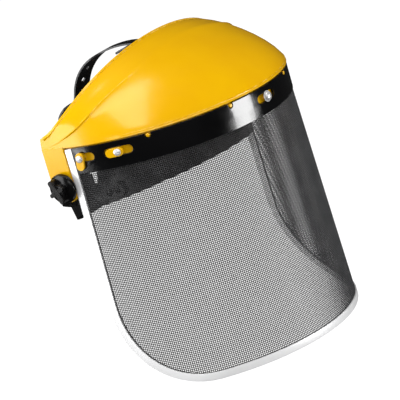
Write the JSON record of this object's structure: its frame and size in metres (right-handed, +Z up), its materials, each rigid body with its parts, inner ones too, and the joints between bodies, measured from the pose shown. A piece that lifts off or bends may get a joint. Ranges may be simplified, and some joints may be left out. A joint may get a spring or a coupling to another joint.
{
  "type": "face shield",
  "caption": "Tilting face shield: wire-mesh visor in an aluminium edge, moulded yellow browguard, black head harness with crown strap and two hand knobs.",
  "frame": {"origin": "centre of the headband, where the middle of the head is; the part is held up by the head", "axes": "+Z up through the wearer's crown, -Y the way the wearer looks, +X to the wearer's left"},
  "size_m": [0.292, 0.2418, 0.2906],
  "materials": {
    "yellow_plastic": "gloss",
    "steel_wire": "satin",
    "binding_aluminium": "satin",
    "black_plastic": "gloss",
    "zinc_steel": "polished",
    "lever_plastic": "gloss",
    "fibre_washer": "matt",
    "harness_plastic": "satin",
    "sweat_foam": "matt",
    "knob_plastic": "satin"
  },
  "bodies": {
    "headgear": {"headband_front": "harness_plastic", "sweatband": "sweat_foam", "nape_strap": "harness_plastic", "crown_strap_front": "harness_plastic", "crown_strap_rear": "harness_plastic", "crown_peg": "harness_plastic", "crown_rivet_front": "harness_plastic", "crown_rivet_rear": "harness_plastic", "bracket_rivet_right_1": "harness_plastic", "bracket_rivet_right_2": "harness_plastic", "bracket_rivet_left_1": "harness_plastic", "bracket_rivet_left_2": "harness_plastic", "side_bracket_right": "harness_plastic", "side_bracket_left": "harness_plastic", "pivot_bolt_right": "zinc_steel", "pivot_bolt_left": "zinc_steel", "inner_washer_right": "fibre_washer", "inner_washer_left": "fibre_washer"},
    "shield": {"browguard": "yellow_plastic", "visor_mesh": "steel_wire", "visor_edge_binding": "binding_aluminium", "visor_top_band": "black_plastic", "centre_stud": "zinc_steel", "centre_stud_collar": "zinc_steel", "binding_rivet_right": "zinc_steel", "binding_rivet_left": "zinc_steel", "toggle_screw_right_front": "zinc_steel", "toggle_screw_right_rear": "zinc_steel", "toggle_screw_left_front": "zinc_steel", "toggle_screw_left_rear": "zinc_steel", "outer_washer_right": "fibre_washer", "outer_washer_left": "fibre_washer"},
    "knob_right": {"pivot_knob_right": "knob_plastic"},
    "knob_left": {"pivot_knob_left": "knob_plastic"},
    "lever_right_front": {"toggle_right_front": "lever_plastic"},
    "lever_right_rear": {"toggle_right_rear": "lever_plastic"},
    "lever_left_front": {"toggle_left_front": "lever_plastic"},
    "lever_left_rear": {"toggle_left_rear": "lever_plastic"}
  },
  "joints": [
    {"name": "shield_tilt", "type": "hinge", "parent": "headgear", "child": "shield", "pos_m": [0, 0.0023, 0.019], "axis": [-1, 0, 0], "range_deg": [0, 90]},
    {"name": "knob_right_turn", "type": "hinge", "parent": "headgear", "child": "knob_right", "pos_m": [-0.1333, 0.0023, 0.019], "axis": [-1, 0, 0], "range_deg": [0, 180]},
    {"name": "knob_left_turn", "type": "hinge", "parent": "headgear", "child": "knob_left", "pos_m": [0.1333, 0.0023, 0.019], "axis": [1, 0, 0], "range_deg": [0, 180]},
    {"name": "lever_right_front_turn", "type": "hinge", "parent": "shield", "child": "lever_right_front", "pos_m": [-0.12008, -0.05706, 0.0432], "axis": [-0.923, -0.3847, 0], "range_deg": [0, 90]},
    {"name": "lever_right_rear_turn", "type": "hinge", "parent": "shield", "child": "lever_right_rear", "pos_m": [-0.1292, -0.02227, 0.0432], "axis": [0.9931, 0.1174, 0], "range_deg": [0, 80]},
    {"name": "lever_left_front_turn", "type": "hinge", "parent": "shield", "child": "lever_left_front", "pos_m": [0.12008, -0.05706, 0.0432], "axis": [-0.923, 0.3847, 0], "range_deg": [0, 90]},
    {"name": "lever_left_rear_turn", "type": "hinge", "parent": "shield", "child": "lever_left_rear", "pos_m": [0.1292, -0.02227, 0.0432], "axis": [0.9931, -0.1174, 0], "range_deg": [0, 80]}
  ]
}
